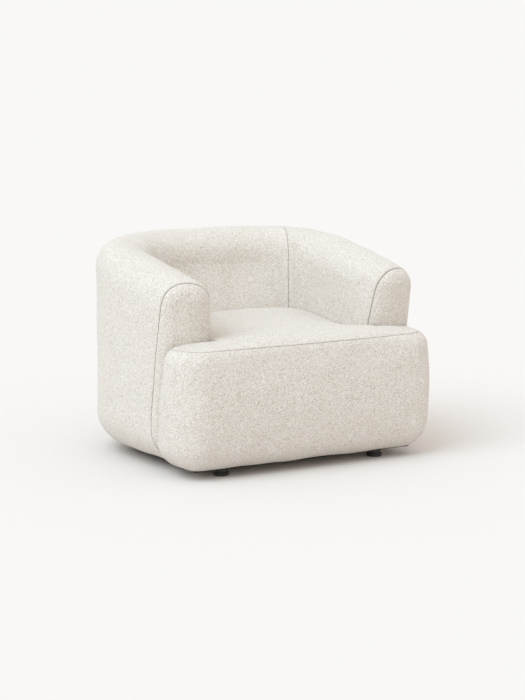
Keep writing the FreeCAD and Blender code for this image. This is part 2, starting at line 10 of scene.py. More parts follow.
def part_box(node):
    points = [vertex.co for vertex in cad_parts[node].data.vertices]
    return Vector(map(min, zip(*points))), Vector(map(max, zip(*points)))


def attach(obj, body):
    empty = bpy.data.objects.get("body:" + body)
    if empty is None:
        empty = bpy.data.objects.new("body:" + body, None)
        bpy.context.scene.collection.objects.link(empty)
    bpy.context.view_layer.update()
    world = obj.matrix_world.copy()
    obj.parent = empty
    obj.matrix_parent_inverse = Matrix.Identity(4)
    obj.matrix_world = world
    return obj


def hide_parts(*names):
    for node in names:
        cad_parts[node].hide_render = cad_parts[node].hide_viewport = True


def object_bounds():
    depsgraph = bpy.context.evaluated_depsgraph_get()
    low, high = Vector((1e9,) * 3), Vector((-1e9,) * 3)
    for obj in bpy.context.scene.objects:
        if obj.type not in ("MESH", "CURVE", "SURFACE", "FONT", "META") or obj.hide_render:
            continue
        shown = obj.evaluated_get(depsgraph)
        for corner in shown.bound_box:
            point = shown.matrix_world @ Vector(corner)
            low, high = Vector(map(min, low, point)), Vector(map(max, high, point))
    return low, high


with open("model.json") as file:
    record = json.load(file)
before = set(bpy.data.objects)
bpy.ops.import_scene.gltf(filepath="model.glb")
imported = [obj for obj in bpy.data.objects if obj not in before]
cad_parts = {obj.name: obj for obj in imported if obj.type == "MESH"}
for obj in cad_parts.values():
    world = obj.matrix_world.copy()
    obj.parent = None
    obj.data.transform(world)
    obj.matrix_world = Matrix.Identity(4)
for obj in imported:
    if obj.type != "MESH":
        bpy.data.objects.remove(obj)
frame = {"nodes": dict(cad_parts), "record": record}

# The looks of an upholstered tub armchair, in metres, in the CAD frame: +Z up,
# the sitter faces -Y, the sitter's left is +X.

cad_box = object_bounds()

# ------------------------------------------------------------------ sizes
HALF_WIDTH = cad_box[1].x
REAR = cad_box[1].y
FRONT = cad_box[0].y
HEIGHT = cad_box[1].z
cap_low, cap_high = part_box("arm_cap_cover_left")
ARM_X = cap_high.x                  # outside of the arm at its front
INNER_X = cap_low.x                 # inside faces of the arms
ARM_LOFT = 0.004                    # how much fuller the arm is than its plain solid
ARM_TOP = cap_high.z + ARM_LOFT
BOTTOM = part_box("back_cover")[0].z
CORE_ROOM = 0.0045                  # from the seat's core to the face of the back
INNER_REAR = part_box("seat_foam_core")[1].y + CORE_ROOM
SEAT_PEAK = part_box("seat_top_cover")[1].z
SEAT_CROWN = 0.010
SEAT_LEVEL = SEAT_PEAK - SEAT_CROWN

# the shell
BEND_START = 0.020                  # y at which the straight arms start to bend
OUTER_CORNER = 2.4                  # superellipse exponents of the bends
INNER_CORNER = 4.5
BACK_ROLL = 0.110
ROLL_FULLNESS = 2.3                 # superellipse exponent of the rounded top edges
HEM_RADIUS = 0.110
HEM_WIDTH = 0.025                   # flat strip of cover under the shell
HEIGHT_CURVE = 1.45                 # how quickly the arm's slope flattens towards the back
CORNER_ANGLE = 48.0                 # where the sleeves of the arms and the back meet
SKIRT = 0.085                       # how far the inside face goes on under the seat's level
SKIRT_CURVE = 1.4                   # how the back's inside face leans, 1 is straight
INNER_SWELL = 0.006                 # how far the inside faces swell near the seat
SWELL_START = 0.06                  # that swell begins this far under the arm's top
SWELL_RUN = 0.12                    # and is full this much lower
INSIDE_FROM = 0.8                   # share of the thickness at which the inside begins
INSIDE_RUN = 0.2

# the seams and faces of the arm fronts
SEAM_Y = -0.205                     # the cap seam's y where it stands furthest back
SEAM_HEIGHTS = (0.03, 0.07, 0.12, 0.18, 0.24, 0.37, 0.48, 0.56, 0.617)
SEAM_AHEAD = (0.032, 0.014, 0.001, 0.0, 0.011, 0.032, 0.056, 0.073, 0.087)
SEAM_SMOOTHING = 40                 # rounds that turn those points into a curve
SEAM_TURN = 0.030                   # how much further ahead the seam runs on the inside
FACE_Y = -0.250                     # the arm's front face at the datum height
FACE_LEAN = -0.14                   # change of its y for each metre up
FACE_TURN = 0.014                   # how much further ahead the face stands on the inside
LEAN_DATUM = 0.120
CAP_ROUNDING = 0.042
CAP_CROWN = 0.004                   # how far the middle of the arm's face stands out
CAP_FIRST_COLUMN = 7                # where round the hem the cap begins

# the seat block
SEAM_HEIGHT = 0.413                 # the seam between seat top and front
SEAT_SAG = 0.009                    # how far the top falls towards the arms
WING_SAG = 0.020                    # and from there to the ends of the wings
FRONT_SAG = 0.022                   # and towards the front
FRONT_SAG_Y = -0.02                 # y at which that begins
FRONT_SAG_CURVE = 2.2
PINCH = 0.024                       # how far the seat is pinched down beside the arms
PINCH_REACH = 0.170                 # from the arm towards the middle
PINCH_FROM = -0.315                 # y at which it begins
PINCH_RUN = 0.130
PINCH_END = 0.160                   # y at which it has faded
PINCH_FADE = 0.300
BLOCK_CORNER = 0.095
BLOCK_BOW = 0.010                   # how far the middle of the front stands out
BLOCK_HEM = 0.085
BLOCK_DROP = 0.004                  # how far the block's cover hangs under the frame's hem
BLOCK_SWELL = 0.016                 # how far the sides swell at mid height
BLOCK_TOP = 0.452                   # height that mid height is counted from
BLOCK_EDGE = 0.040
WING_EDGE = 0.016
FACE_ROOM = 0.003                   # between the wings and the arm fronts
SLAB_EDGE = 0.020
SLAB_CORNER = 0.080
SLAB_ROOM = 0.001                   # between the seat and the faces round it
SLAB_START = 0.08                   # behind the block's front
SLAB_BOTTOM = 0.345
SLAB_BLEND = 0.010                  # how softly the slab runs into the block

# ------------------------------------------------------------------ mesh helpers


def mesh_object(name, points, faces):
    mesh = bpy.data.meshes.new(name)
    mesh.from_pydata([tuple(p) for p in points], [], [tuple(f) for f in faces])
    mesh.update()
    made = bpy.data.objects.new(name, mesh)
    bpy.context.scene.collection.objects.link(made)
    mesh.shade_smooth()
    return made


def grid_faces(rows, columns, flip=False):
    faces = []
    for i in range(rows - 1):
        for j in range(columns - 1):
            a = i * columns + j
            quad = (a, a + 1, a + columns + 1, a + columns)
            faces.append(tuple(reversed(quad)) if flip else quad)
    return faces


def grid_normals(grid):
    along = np.gradient(grid, axis=0)
    across = np.gradient(grid, axis=1)
    normal = np.cross(across, along)
    return normal / np.maximum(np.linalg.norm(normal, axis=2, keepdims=True), 1e-12)


def wave_noise(points, size, seed, count=24):
    # smooth noise about -1 to 1, as a sum of random waves of about the given size
    local = np.random.default_rng(seed)
    directions = local.normal(size=(count, 3))
    directions /= np.linalg.norm(directions, axis=1, keepdims=True)
    numbers = directions * (2 * math.pi / (size * local.uniform(0.7, 1.6, (count, 1))))
    phases = local.uniform(0, 2 * math.pi, count)
    return np.sin(points @ numbers.T + phases).sum(axis=-1) / math.sqrt(count)


FLANGE = 0.010                      # seam allowance turned in behind each edge
EDGE_WIDTH = 0.0062                 # how wide and deep an edge rolls in at a seam
EDGE_DEPTH = 0.0042
SEAT_EDGE_WIDTH = 0.0050            # and at the flatter seam of the seat
SEAT_EDGE_DEPTH = 0.0026
SEAM_SHADE = 0.0019                 # how far the darker line of a seam reaches: thread colour and painted groove shade
CAP_SEAM = 0.60                     # strength of that line round the arm fronts
PLAIN_SEAM = 0.25                   # and at the other seams
CAP_SEAM_REACH = 0.02               # how far from a sleeve's end its seam is the cap's
PUCKER_HEIGHT = 0.0006              # puckers near the seams
PUCKER_SIZE = 0.016
PUCKER_REACH = 0.012
PUCKER_FADE = 0.010                 # they flatten within this distance of the stitches


def edge_roll(distance, width=EDGE_WIDTH, depth=EDGE_DEPTH):
    # how far a panel's edge turns in at a seam, as a quarter of an ellipse
    t = np.clip(1 - distance / width, 0, 1)
    return depth * (1 - np.sqrt(np.maximum(0, 1 - t * t)))


def unevenness(points, distance, seed, height, size, reach):
    # puckers near a seam, and soft waves of the given height and size further in
    pucker = wave_noise(points, PUCKER_SIZE, seed) * np.exp(-distance / PUCKER_REACH)
    soft = wave_noise(points, size, seed + 1)
    lift = PUCKER_HEIGHT * pucker * np.clip(distance / PUCKER_FADE, 0, 1)
    return lift + height * soft * np.clip(distance / reach, 0, 1)


def mark_seam(made, distance, strength):
    # how strongly each point shows the seam's thread and painted shade, read by the fabric
    share = (strength * np.exp(-(np.asarray(distance) / SEAM_SHADE) ** 2)).astype(np.float32)
    made.data.attributes.new("seam", "FLOAT", "POINT").data.foreach_set("value", share.ravel())


ROW_STEP = 0.0075                   # between a panel's rows, which are closer by a seam
NEAR_ROWS = (0, 0.0006, 0.0014, 0.0025, 0.0038, 0.0054, 0.0075, 0.0105, 0.0145)


def ease_rows(length):
    # distances along a panel, close together near both seams
    near = np.array(NEAR_ROWS)
    count = max(2, int(round((length - 2 * near[-1]) / ROW_STEP)))
    middle = np.linspace(near[-1], length - near[-1], count + 1)[1:-1]
    return np.concatenate([near, middle, length - near[::-1]])


# ------------------------------------------------------------------ the U-shaped shell
SEAM_TABLE_Z = np.linspace(0.0, 0.75, 151)
seam_table = np.interp(SEAM_TABLE_Z, SEAM_HEIGHTS, SEAM_AHEAD)
for _ in range(SEAM_SMOOTHING):
    seam_table[1:-1] += 0.5 * ((seam_table[:-2] + seam_table[2:]) / 2 - seam_table[1:-1])


def ease(t):
    t = np.clip(t, 0, 1)
    return t * t * (3 - 2 * t)


def seam_lean(z, share=0.0):
    # forward run of the cap seam; share is 0 at the outside of the arm, 1 inside
    return -np.interp(z, SEAM_TABLE_Z, seam_table) - SEAM_TURN * ease(share)


def face_lean(z, share):
    # the same for the front face of the arm
    return FACE_Y - SEAM_Y + FACE_LEAN * (z - LEAN_DATUM) - FACE_TURN * ease(share)


def inner_swell(z, share):
    # how far an inside face stands out, fullest near the seat
    low_down = ease((ARM_TOP - SWELL_START - z) / SWELL_RUN)
    return INNER_SWELL * low_down * ease((share - INSIDE_FROM) / INSIDE_RUN)


ARM_STATIONS = 120
BEND_STATIONS = 400


def half_path():
    # dense stations from the cap seam to the middle of the back: outside x and y,
    # inside x and y, and how much of the cap seam's lean they take
    share = np.linspace(0, 1, ARM_STATIONS)
    y = SEAM_Y + (BEND_START - SEAM_Y) * share
    toe = (HALF_WIDTH - ARM_X) * (1 - share) ** 2
    arm = np.stack([HALF_WIDTH - toe, y, np.full_like(y, INNER_X), y, 1 - share], axis=1)
    angle = np.radians(np.linspace(0, 90, BEND_STATIONS))[1:]
    c = np.clip(np.cos(angle), 0, 1)
    s = np.sin(angle)
    bend = np.stack([
        HALF_WIDTH * c ** (2 / OUTER_CORNER),
        BEND_START + (REAR - BEND_START) * s ** (2 / OUTER_CORNER),
        INNER_X * c ** (2 / INNER_CORNER),
        BEND_START + (INNER_REAR - BEND_START) * s ** (2 / INNER_CORNER),
        np.zeros_like(c),
    ], axis=1)
    path = np.concatenate([arm, bend])
    middle = (path[:, :2] + path[:, 2:4]) / 2
    run = np.concatenate([[0], np.cumsum(np.linalg.norm(np.diff(middle, axis=0), axis=1))])
    corner = run[ARM_STATIONS + int(round(BEND_STATIONS * CORNER_ANGLE / 90.0)) - 1]
    return path, run, corner


PATH, RUN, CORNER_RUN = half_path()
TOTAL_RUN = 2 * RUN[-1]


def stations(run):
    # stations at distances along the whole U, from the left arm's seam to the right's
    run = np.asarray(run, float)
    half = TOTAL_RUN / 2
    side = np.where(run <= half, 1.0, -1.0)
    inside = half - np.abs(run - half)
    values = [np.interp(inside, RUN, PATH[:, k]) for k in range(5)]
    outer = np.stack([values[0] * side, values[1]], axis=1)
    inner = np.stack([values[2] * side, values[3]], axis=1)
    return outer, inner, values[4]


def round_in(behind):
    # how far the arm's surface is drawn in at a distance behind its front face
    t = np.clip(1 - behind / CAP_ROUNDING, 0, 1)
    return CAP_ROUNDING * (1 - np.sqrt(np.maximum(0, 1 - t * t)))


def drawn_in(n, z, inset):
    # moves section lines inwards, square to themselves
    along_n = np.gradient(n, axis=-1)
    along_z = np.gradient(z, axis=-1)
    length = np.maximum(np.hypot(along_n, along_z), 1e-9)
    return n + inset * along_z / length, z - inset * along_n / length


def shell_points(run):
    # the shell's sections at distances along the U
    outer, inner, lean = stations(run)
    reach = outer - inner
    thickness = np.linalg.norm(reach, axis=1)
    toward = reach / thickness[:, None]
    roll = np.minimum(thickness / 2, BACK_ROLL)
    ridge_y = outer[:, 1] - toward[:, 1] * roll + lean * seam_lean(ARM_TOP)
    start_y = SEAM_Y + seam_lean(ARM_TOP)
    travel = np.clip((ridge_y - start_y) / (REAR - BACK_ROLL - start_y), 0, 1)
    top = ARM_TOP + (HEIGHT - ARM_TOP) * (1 - (1 - travel) ** HEIGHT_CURVE)
    n, z = shell_profile(thickness[:, None], roll[:, None], top[:, None])
    share = n / thickness[:, None]
    y = outer[:, 1:2] - toward[:, 1:2] * n + lean[:, None] * seam_lean(z, share)
    behind = y - SEAM_Y - face_lean(z, share)
    n = n + lean[:, None] * inner_swell(z, share)
    n, z = drawn_in(n, z, round_in(behind) * (lean[:, None] > 0))
    x = outer[:, 0:1] - toward[:, 0:1] * n
    return np.stack([x, y, z], axis=2)


UNDER_SPOTS = 4                     # points along each stretch of a section
HEM_SPOTS = 22
SIDE_SPOTS = 62
ROLL_SPOTS = 42
INSIDE_SPOTS = 26
SKIRT_SPOTS = 10


def roll_spots(count):
    # places round the top edge, from the outside (1, 0) over the ridge (0, 1) to the inside
    spots = []
    for a in np.linspace(0, math.pi, count):
        across = math.copysign(abs(math.cos(a)) ** (2 / ROLL_FULLNESS), math.cos(a))
        spots.append((across, max(0.0, math.sin(a)) ** (2 / ROLL_FULLNESS)))
    return spots


def shell_profile(thickness, roll, top):
    # one section of the shell, from under the hem up the outside, over the roll and
    # down the inside to under the seat: distances in from the outside, and heights
    spring = top - roll
    rows_n = []
    rows_z = []
    for t in np.linspace(0, 1, UNDER_SPOTS)[:-1]:
        rows_n.append(HEM_RADIUS + HEM_WIDTH * (1 - t) + 0 * roll)
        rows_z.append(BOTTOM + 0 * roll)
    for a in np.radians(np.linspace(0, 90, HEM_SPOTS))[:-1]:
        rows_n.append(HEM_RADIUS * (1 - math.sin(a)) + 0 * roll)
        rows_z.append(BOTTOM + HEM_RADIUS * (1 - math.cos(a)) + 0 * roll)
    for t in np.linspace(0, 1, SIDE_SPOTS)[:-1]:
        rows_n.append(0 * roll)
        rows_z.append((BOTTOM + HEM_RADIUS) * (1 - t) + spring * t)
    for across, up in roll_spots(ROLL_SPOTS)[:-1]:
        rows_n.append(roll * (1 - across))
        rows_z.append(spring + roll * up)
    for t in np.linspace(0, 1, INSIDE_SPOTS)[:-1]:
        rows_n.append(2 * roll + (thickness - 2 * roll) * t ** SKIRT_CURVE)
        rows_z.append(spring * (1 - t) + SEAT_LEVEL * t)
    for t in np.linspace(0, 1, SKIRT_SPOTS):
        rows_n.append(thickness + 0 * t)
        rows_z.append(SEAT_LEVEL - SKIRT * t + 0 * roll)
    return np.concatenate(rows_n, axis=1), np.concatenate(rows_z, axis=1)


def shell_panel(name, start, end, seed):
    rows = ease_rows(end - start)
    grid = shell_points(start + rows)
    normal = -grid_normals(grid)
    nearest = np.minimum(rows, rows[-1] - rows)[:, None]
    lift = unevenness(grid, nearest, seed, height=0.0010, size=0.12, reach=0.06) - edge_roll(nearest)
    grid = grid + normal * lift[:, :, None]
    first = grid[:1] - normal[:1] * FLANGE
    last = grid[-1:] - normal[-1:] * FLANGE
    grid = np.concatenate([first, grid, last])
    made = mesh_object(name, grid.reshape(-1, 3), grid_faces(*grid.shape[:2], flip=True))
    nearest = np.broadcast_to(np.concatenate([nearest[:1], nearest, nearest[-1:]]), grid.shape[:2])
    along = np.concatenate([rows[:1], rows, rows[-1:]])[:, None]
    by_left_cap = (along < CAP_SEAM_REACH) & (start == 0)
    by_right_cap = (along > rows[-1] - CAP_SEAM_REACH) & (end == TOTAL_RUN)
    mark_seam(made, nearest, np.where(by_left_cap | by_right_cap, CAP_SEAM, PLAIN_SEAM))
    return made


# ------------------------------------------------------------------ arm caps
CAP_ANGLES = (0, 1, 2.5, 4.5, 7, 10, 14, 19, 25, 32, 40, 48, 56, 64, 72, 80)
CAP_FACE_RINGS = 12


def cap_rows():
    # share of the way forward from the seam to the face, and of the way in over the face
    rings = [(math.sin(a), 0.0) for a in np.radians(CAP_ANGLES)]
    return rings + [(1.0, t) for t in np.linspace(0, 1, CAP_FACE_RINGS)]


def cap_grid():
    # rings from the seam round the edge of the left arm's front to the middle of its face
    roll = (ARM_X - INNER_X) / 2
    thickness = np.array([[2 * roll]])
    base_n, base_z = shell_profile(thickness, thickness / 2, np.array([[ARM_TOP]]))
    base_n = base_n[0, CAP_FIRST_COLUMN:]
    base_z = base_z[0, CAP_FIRST_COLUMN:]
    share = base_n / (2 * roll)
    seam = seam_lean(base_z, share)
    face = face_lean(base_z, share)
    full_n = base_n + inner_swell(base_z, share)
    spine = np.clip(base_z, BOTTOM + roll, ARM_TOP - roll)
    rows = []
    for forward, over in cap_rows():
        run = seam * (1 - forward) + face * forward
        n, z = drawn_in(full_n, base_z, round_in(run - face))
        n = n + (roll - n) * over
        z = z + (spine - z) * over
        run = run + (face_lean(z, n / (2 * roll)) - run) * ease(over) * (forward == 1.0)
        crown = CAP_CROWN * math.sin(over * math.pi / 2)
        rows.append(np.stack([ARM_X - n, SEAM_Y + run - crown, z], axis=1))
    return np.array(rows)


def cap_panel(name, side, seed):
    grid = cap_grid()
    normal = grid_normals(grid)
    step = np.linalg.norm(np.diff(grid, axis=0), axis=2)
    run = np.concatenate([np.zeros((1, grid.shape[1])), np.cumsum(step, axis=0)])
    lift = unevenness(grid, run, seed, height=0.0008, size=0.10, reach=0.04) - edge_roll(run)
    grid = grid + normal * lift[:, :, None]
    grid = np.concatenate([grid[:1] - normal[:1] * FLANGE, grid])
    grid[:, :, 0] *= side
    made = mesh_object(name, grid.reshape(-1, 3), grid_faces(*grid.shape[:2], flip=side < 0))
    mark_seam(made, np.concatenate([run[:1], run]), CAP_SEAM)
    return made


# ------------------------------------------------------------------ seat block
SEAT_VOXEL = 0.0065
ROUGH_BLOCK_REAR = -0.275           # the two boxes that the seat's skin starts from
ROUGH_BLOCK_TOP = 0.43
ROUGH_SLAB_FRONT = -0.40
ROUGH_SLAB_TOP = 0.44
ROUGH_ROUNDS = 14
SEAM_LOOPS = (0.0008, 0.0018, 0.0032, 0.0050, 0.0075)
SEAT_SEED = 31


def round_max(a, b, radius):
    # where two distance fields meet, with the edge between them rounded
    corner = np.sqrt(np.maximum(a + radius, 0) ** 2 + np.maximum(b + radius, 0) ** 2) - radius
    return np.where((a > -radius) & (b > -radius), corner, np.maximum(a, b))


def seat_top_height(x, y):
    across = np.abs(x)
    sag = SEAT_SAG * np.clip(across / INNER_X, 0, 1) ** 3
    sag = sag + WING_SAG * np.clip((across - INNER_X) / (HALF_WIDTH - INNER_X), 0, 1.2) ** 2
    ahead = np.clip((FRONT_SAG_Y - y) / (FRONT_SAG_Y - FRONT), 0, 1.1)
    pinch = ease(1 - (INNER_X - across) / PINCH_REACH) * ease((y - PINCH_FROM) / PINCH_RUN)
    pinch = pinch * ease((PINCH_END - y) / PINCH_FADE)
    return SEAT_PEAK - sag - PINCH * pinch - FRONT_SAG * ahead ** FRONT_SAG_CURVE


def seat_field(p):
    # about the distance outside the seat: a block across the front, and a slab behind it
    x, y, z = p[:, 0], p[:, 1], p[:, 2]
    across = np.abs(x)
    top = z - seat_top_height(x, y)
    middle = (BOTTOM + BLOCK_TOP) / 2
    inset = BLOCK_SWELL * ((z - middle) / (middle - BOTTOM)) ** 2
    front_line = FRONT + BLOCK_BOW * (x / HALF_WIDTH) ** 2
    plan = round_max(across - HALF_WIDTH, front_line - y, BLOCK_CORNER) + inset
    rear_line = SEAM_Y + face_lean(z, (ARM_X - across) / (ARM_X - INNER_X)) - FACE_ROOM
    block = round_max(plan, BOTTOM - BLOCK_DROP - z, BLOCK_HEM)
    block = round_max(block, top, BLOCK_EDGE)
    block = round_max(block, y - rear_line, WING_EDGE)
    slab_plan = round_max(across - INNER_X + SLAB_ROOM, y - INNER_REAR + SLAB_ROOM, SLAB_CORNER)
    slab_plan = np.maximum(slab_plan, FRONT + SLAB_START - y)
    slab = round_max(slab_plan, top, SLAB_EDGE)
    slab = np.maximum(slab, SLAB_BOTTOM - z)
    share = np.clip(0.5 + 0.5 * (slab - block) / SLAB_BLEND, 0, 1)
    return slab * (1 - share) + block * share - SLAB_BLEND * share * (1 - share)


def field_gradient(p, step=0.0004):
    columns = []
    for axis in range(3):
        shift = np.zeros(3)
        shift[axis] = step
        columns.append((seat_field(p + shift) - seat_field(p - shift)) / (2 * step))
    return np.stack(columns, axis=1)


def project(p, rounds=6):
    # draws points onto the seat's surface
    for _ in range(rounds):
        gradient = field_gradient(p)
        size = np.maximum((gradient ** 2).sum(axis=1), 0.05)
        step = seat_field(p)[:, None] * gradient / size[:, None]
        length = np.linalg.norm(step, axis=1, keepdims=True)
        p = p - step * np.minimum(1, 0.02 / np.maximum(length, 1e-9))
    return p


def coords(mesh):
    p = np.zeros(len(mesh.vertices) * 3)
    mesh.vertices.foreach_get("co", p)
    return p.reshape(-1, 3)


def set_coords(mesh, p):
    mesh.vertices.foreach_set("co", p.astype(np.float32).ravel())
    mesh.update()


def relax(mesh, p, strength=0.5):
    # moves each vertex's value part of the way to the mean of its neighbours
    edges = np.zeros(len(mesh.edges) * 2, int)
    mesh.edges.foreach_get("vertices", edges)
    edges = edges.reshape(-1, 2)
    total = np.zeros_like(p)
    count = np.zeros(len(p))
    for a, b in ((0, 1), (1, 0)):
        np.add.at(total, edges[:, a], p[edges[:, b]])
        np.add.at(count, edges[:, a], 1)
    return p + strength * (total / np.maximum(count, 1)[:, None] - p)


def box_mesh(made, low, high):
    bm = bmesh.new()
    bmesh.ops.create_cube(bm, size=1.0)
    for v in bm.verts:
        v.co = Vector([low[k] + (v.co[k] + 0.5) * (high[k] - low[k]) for k in range(3)])
    bm.to_mesh(made)
    bm.free()


def apply_modifiers(made):
    graph = bpy.context.evaluated_depsgraph_get()
    done = bpy.data.meshes.new_from_object(made.evaluated_get(graph))
    old = made.data
    made.modifiers.clear()
    made.data = done
    bpy.data.meshes.remove(old)


def rough_seat():
    # a voxel skin over the block and the slab, before it is drawn onto the true form
    parts = []
    for low, high in (
        ((-HALF_WIDTH, FRONT, BOTTOM), (HALF_WIDTH, ROUGH_BLOCK_REAR, ROUGH_BLOCK_TOP)),
        ((-INNER_X, ROUGH_SLAB_FRONT, SLAB_BOTTOM), (INNER_X, INNER_REAR, ROUGH_SLAB_TOP)),
    ):
        mesh = bpy.data.meshes.new("rough")
        box_mesh(mesh, low, high)
        made = bpy.data.objects.new("rough", mesh)
        bpy.context.scene.collection.objects.link(made)
        parts.append(made)
    join = parts[0].modifiers.new("join", "BOOLEAN")
    join.operation = "UNION"
    join.object = parts[1]
    remesh = parts[0].modifiers.new("skin", "REMESH")
    remesh.mode = "VOXEL"
    remesh.voxel_size = SEAT_VOXEL
    apply_modifiers(parts[0])
    bpy.data.objects.remove(parts[1])
    mesh = parts[0].data
    p = coords(mesh)
    for _ in range(ROUGH_ROUNDS):
        p = project(relax(mesh, p), 2)
    p = project(p, 6)
    set_coords(mesh, p)
    return parts[0]


def cut_at(made, heights):
    # adds level edge loops
    bm = bmesh.new()
    bm.from_mesh(made.data)
    for z in heights:
        everything = bm.verts[:] + bm.edges[:] + bm.faces[:]
        bmesh.ops.bisect_plane(bm, geom=everything, dist=1e-6, plane_co=(0, 0, z), plane_no=(0, 0, 1))
    bm.to_mesh(made.data)
    bm.free()


def keep_side(made, name, above):
    mesh = made.data.copy()
    piece = bpy.data.objects.new(name, mesh)
    bpy.context.scene.collection.objects.link(piece)
    bm = bmesh.new()
    bm.from_mesh(mesh)
    everything = bm.verts[:] + bm.edges[:] + bm.faces[:]
    bmesh.ops.bisect_plane(
        bm, geom=everything, dist=1e-6, plane_co=(0, 0, SEAM_HEIGHT), plane_no=(0, 0, 1),
        clear_outer=not above, clear_inner=above,
    )
    bm.to_mesh(mesh)
    bm.free()
    mesh.shade_smooth()
    return piece


def add_flange(mesh):
    # turns the seam edge inwards, as a seam allowance
    bm = bmesh.new()
    bm.from_mesh(mesh)
    edges = [e for e in bm.edges if e.is_boundary]
    inward = {tuple(v.co): v.normal * FLANGE for e in edges for v in e.verts}
    made = bmesh.ops.extrude_edge_only(bm, edges=edges)["geom"]
    for v in [g for g in made if isinstance(g, bmesh.types.BMVert)]:
        v.co -= inward[tuple(v.co)]
    bm.to_mesh(mesh)
    bm.free()
    mesh.shade_smooth()


def seat_panels():
    body = rough_seat()
    cut_at(body, [SEAM_HEIGHT + s * d for d in SEAM_LOOPS for s in (1, -1)] + [SEAM_HEIGHT])
    p = project(coords(body.data), 3)
    set_coords(body.data, p)
    panels = []
    for name, above in (("seat_top", True), ("seat_front", False)):
        piece = keep_side(body, name, above)
        p = coords(piece.data)
        gradient = field_gradient(p)
        normal = gradient / np.maximum(np.linalg.norm(gradient, axis=1, keepdims=True), 1e-9)
        away = np.abs(p[:, 2] - SEAM_HEIGHT) / np.maximum(np.linalg.norm(normal[:, :2], axis=1), 0.3)
        lift = unevenness(p, away, SEAT_SEED, height=0.0012, size=0.14, reach=0.06)
        lift -= edge_roll(away, SEAT_EDGE_WIDTH, SEAT_EDGE_DEPTH)
        set_coords(piece.data, p + normal * lift[:, None])
        add_flange(piece.data)
        extra = np.zeros(len(piece.data.vertices) - len(away))
        mark_seam(piece, np.concatenate([away, extra]), PLAIN_SEAM)
        panels.append(piece)
    bpy.data.objects.remove(body)
    return panels


# ------------------------------------------------------------------ cloth under pressure
SIM_VOXEL = 0.014
SIM_FRAMES = 20
SIM_PRESSURE = 4.0
SIM_TRAVEL = 0.006                  # furthest a cover may swell
SIM_PIN = 0.013                     # how near a seam the cloth is held
SIM_HEM = 0.05                      # up to this height over the bottom it is stapled down
SIM_SPREAD = 0.013                  # how widely a fine point looks for the coarse cloth
SIM_NEIGHBOURS = 8
SIM_STATIONS = 130
SIM_SEAM_BAND = 0.004               # points this near the seat's seam count as the seam
CAP_GAP = 0.004                     # keeps the closed bodies' ends apart at the cap seam
END_GAP = 0.001


def closed_tube(rings):
    # a closed body through rings of points, with flat ends
    rows, columns = rings.shape[:2]
    faces = []
    for i in range(rows - 1):
        for j in range(columns):
            k = (j + 1) % columns
            faces.append((i * columns + j, i * columns + k, (i + 1) * columns + k, (i + 1) * columns + j))
    faces.append(tuple(reversed(range(columns))))
    faces.append(tuple((rows - 1) * columns + j for j in range(columns)))
    return rings.reshape(-1, 3), faces


def joined(bodies):
    points = []
    faces = []
    for body_points, body_faces in bodies:
        faces += [tuple(len(points) + v for v in face) for face in body_faces]
        points += [tuple(p) for p in body_points]
    return points, faces


def skinned(made):
    remesh = made.modifiers.new("skin", "REMESH")
    remesh.mode = "VOXEL"
    remesh.voxel_size = SIM_VOXEL
    apply_modifiers(made)


def swell(made, seams):
    # inflates the closed copy with its seams held, and returns where it was and how far it went
    rest = coords(made.data)
    tree = KDTree(len(seams))
    for index, p in enumerate(seams):
        tree.insert(p, index)
    tree.balance()
    held = [i for i, p in enumerate(rest) if p[2] < BOTTOM + SIM_HEM or tree.find(p)[2] < SIM_PIN]
    group = made.vertex_groups.new(name="held")
    group.add(held, 1.0, "REPLACE")
    cloth = made.modifiers.new("cloth", "CLOTH")
    cloth.settings.quality = 5
    cloth.settings.mass = 0.3
    cloth.settings.tension_stiffness = 15
    cloth.settings.compression_stiffness = 15
    cloth.settings.shear_stiffness = 8
    cloth.settings.bending_stiffness = 2
    cloth.settings.use_pressure = True
    cloth.settings.uniform_pressure_force = SIM_PRESSURE
    cloth.settings.vertex_group_mass = "held"
    cloth.settings.effector_weights.gravity = 0
    cloth.collision_settings.use_collision = False
    cloth.point_cache.frame_start = 1
    cloth.point_cache.frame_end = SIM_FRAMES
    for index in range(1, SIM_FRAMES + 1):
        bpy.context.scene.frame_set(index)
    apply_modifiers(made)
    travel = np.nan_to_num(coords(made.data) - rest)
    for _ in range(3):
        travel = relax(made.data, travel)
    length = np.linalg.norm(travel, axis=1, keepdims=True)
    travel *= SIM_TRAVEL * np.tanh(length / SIM_TRAVEL) / np.maximum(length, 1e-9)
    print("cloth", made.name, len(rest), "held", len(held), "mean travel", round(float(length.mean()), 4))
    bpy.data.objects.remove(made)
    bpy.context.scene.frame_set(1)
    return rest, travel


def follow(made, rest, travel):
    # carries the coarse cloth's travel to a fine panel
    tree = KDTree(len(rest))
    for index, p in enumerate(rest):
        tree.insert(p, index)
    tree.balance()
    fine = coords(made.data)
    moved = fine.copy()
    for i, p in enumerate(fine):
        near = tree.find_n(p, SIM_NEIGHBOURS)
        share = np.array([math.exp(-(d / SIM_SPREAD) ** 2) for _, _, d in near]) + 1e-6
        moved[i] += (share[:, None] * travel[[k for _, k, _ in near]]).sum(axis=0) / share.sum()
    set_coords(made.data, moved)


def shell_body():
    # the whole shell with both arm fronts, as one closed skin
    shell = shell_points(np.linspace(END_GAP, TOTAL_RUN - END_GAP, SIM_STATIONS))
    bodies = [closed_tube(shell[::-1])]
    cap = cap_grid()
    cap[0, :, 1] += CAP_GAP
    bodies.append(closed_tube(cap))
    mirrored = cap * np.array([-1, 1, 1])
    bodies.append(closed_tube(mirrored[:, ::-1]))
    body = mesh_object("shell_cloth", *joined(bodies))
    skinned(body)
    return body


def seat_body():
    body = bpy.data.objects.new("seat_cloth", rough_seat().data)
    bpy.context.scene.collection.objects.link(body)
    skinned(body)
    return body


# ------------------------------------------------------------------ materials


# tan of the seam thread, darkened further as painted shade of the seam's groove
SEAM_THREAD_AND_SHADE_COLOUR = (0.30, 0.235, 0.17, 1)


